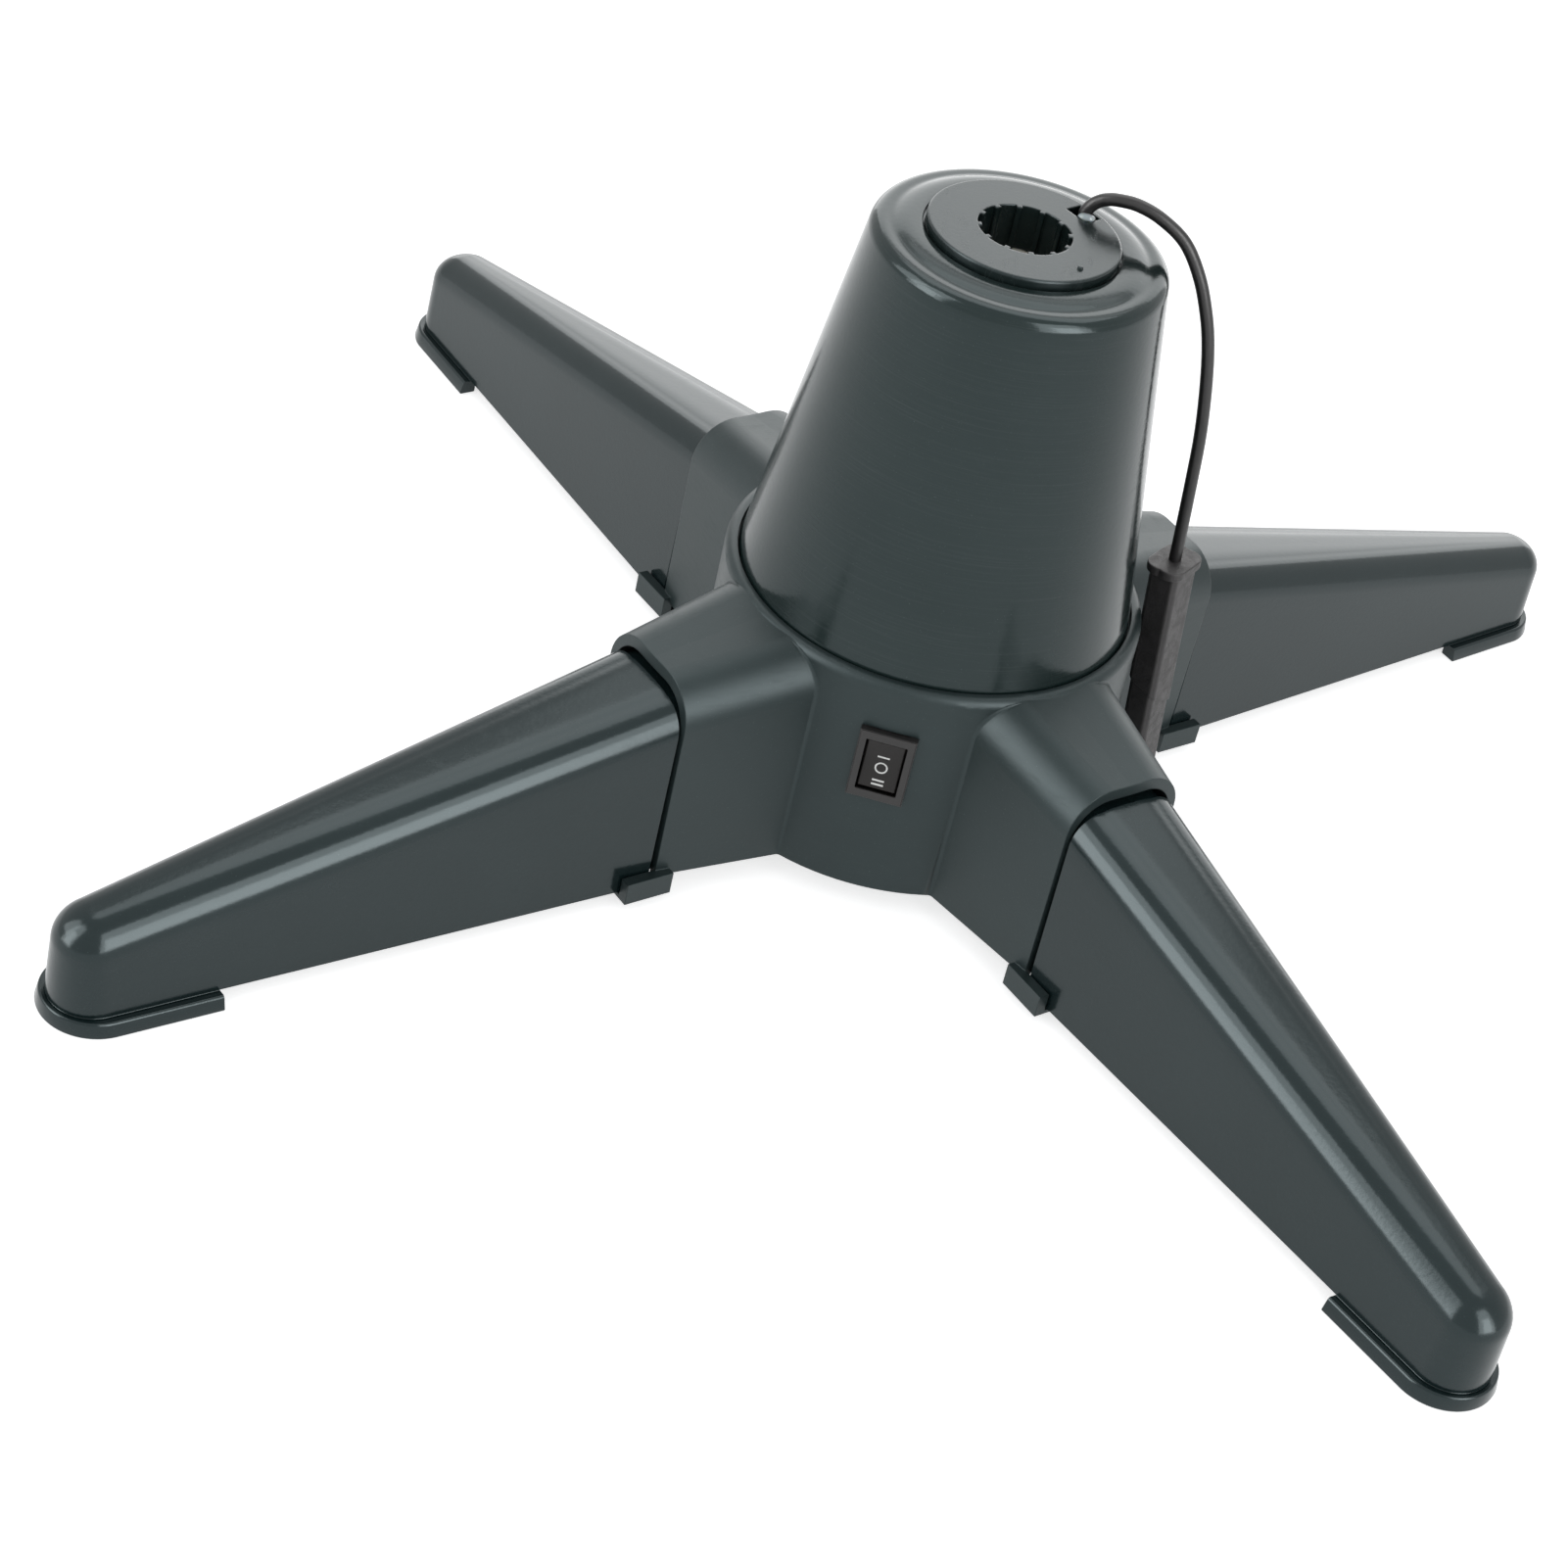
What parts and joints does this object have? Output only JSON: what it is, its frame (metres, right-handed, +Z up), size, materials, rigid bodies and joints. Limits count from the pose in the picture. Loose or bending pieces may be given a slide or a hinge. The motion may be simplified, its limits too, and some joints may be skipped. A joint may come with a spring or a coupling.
{
  "type": "rotating christmas tree stand",
  "caption": "Motor-driven turning stand with splined pole socket, cone housing, pull-out legs, rocker switch and live in-line socket",
  "frame": {"origin": "on the floor, under the middle of the turntable", "axes": "+Z up along the turntable's axis, -Y towards the switch, legs along the four diagonals"},
  "size_m": [0.3618, 0.3618, 0.1851],
  "materials": {
    "gloss_green": "dark green moulded plastic, polished, with fine scratches",
    "satin_green": "dark green moulded plastic, satin",
    "black_plastic": "black plastic, fine texture",
    "black_gloss": "black plastic, half gloss",
    "black_cable": "black cable sheath",
    "nylon": "natural nylon",
    "steel": "bright steel",
    "motor_steel": "zinc-plated steel can",
    "brass": "bare brass",
    "carbon": "carbon brush"
  },
  "bodies": {
    "base": {"hub_housing": "satin_green", "bottom_cover": "satin_green", "bottom_cover_screws": "steel", "cone_housing": "gloss_green", "cone_screws": "steel", "upper_bush": "nylon", "lower_bush": "nylon", "motor_body": "motor_steel", "motor_screws": "steel", "brush_block": "black_plastic", "brushes": "carbon", "switch_body": "black_plastic", "switch_terminals": "brass", "mains_gland": "black_plastic", "flex_lead": "black_cable", "lead_socket": "black_plastic", "lead_socket_contacts": "brass"},
    "turntable": {"turntable_cap": "satin_green", "cap_screws": "steel", "spindle_tube": "nylon", "driven_gear": "nylon", "slip_ring_drum": "black_plastic", "slip_rings": "brass", "lead_stub": "black_cable"},
    "motor_rotor": {"motor_shaft": "steel", "motor_pinion": "nylon"},
    "rocker": {"switch_rocker": "black_gloss"},
    "leg_front_left": {"leg_front_left": "gloss_green"},
    "leg_front_right": {"leg_front_right": "gloss_green"},
    "leg_rear_right": {"leg_rear_right": "gloss_green"},
    "leg_rear_left": {"leg_rear_left": "gloss_green"}
  },
  "joints": [
    {"name": "turntable_spin", "type": "hinge", "parent": "base", "child": "turntable", "pos_m": [0, 0, 0.1], "axis": [0, 0, 1], "continuous": true},
    {"name": "motor_spin", "type": "hinge", "parent": "base", "child": "motor_rotor", "pos_m": [-0.033, 0, 0.04], "axis": [0, 0, 1], "continuous": true},
    {"name": "switch_rock", "type": "hinge", "parent": "base", "child": "rocker", "pos_m": [0, -0.05346, 0.0476], "axis": [1, 0, 0], "range_deg": [-10, 10]},
    {"name": "leg_front_left_slide", "type": "slide", "parent": "base", "child": "leg_front_left", "axis": [-0.7071, -0.7071, 0], "range_m": [0, 0.04]},
    {"name": "leg_front_right_slide", "type": "slide", "parent": "base", "child": "leg_front_right", "axis": [0.7071, -0.7071, 0], "range_m": [0, 0.04]},
    {"name": "leg_rear_right_slide", "type": "slide", "parent": "base", "child": "leg_rear_right", "axis": [0.7071, 0.7071, 0], "range_m": [0, 0.04]},
    {"name": "leg_rear_left_slide", "type": "slide", "parent": "base", "child": "leg_rear_left", "axis": [-0.7071, 0.7071, 0], "range_m": [0, 0.04]}
  ],
  "couplings": [
    {"joint": "motor_spin", "follows": "turntable_spin", "ratio": -3.7143}
  ]
}
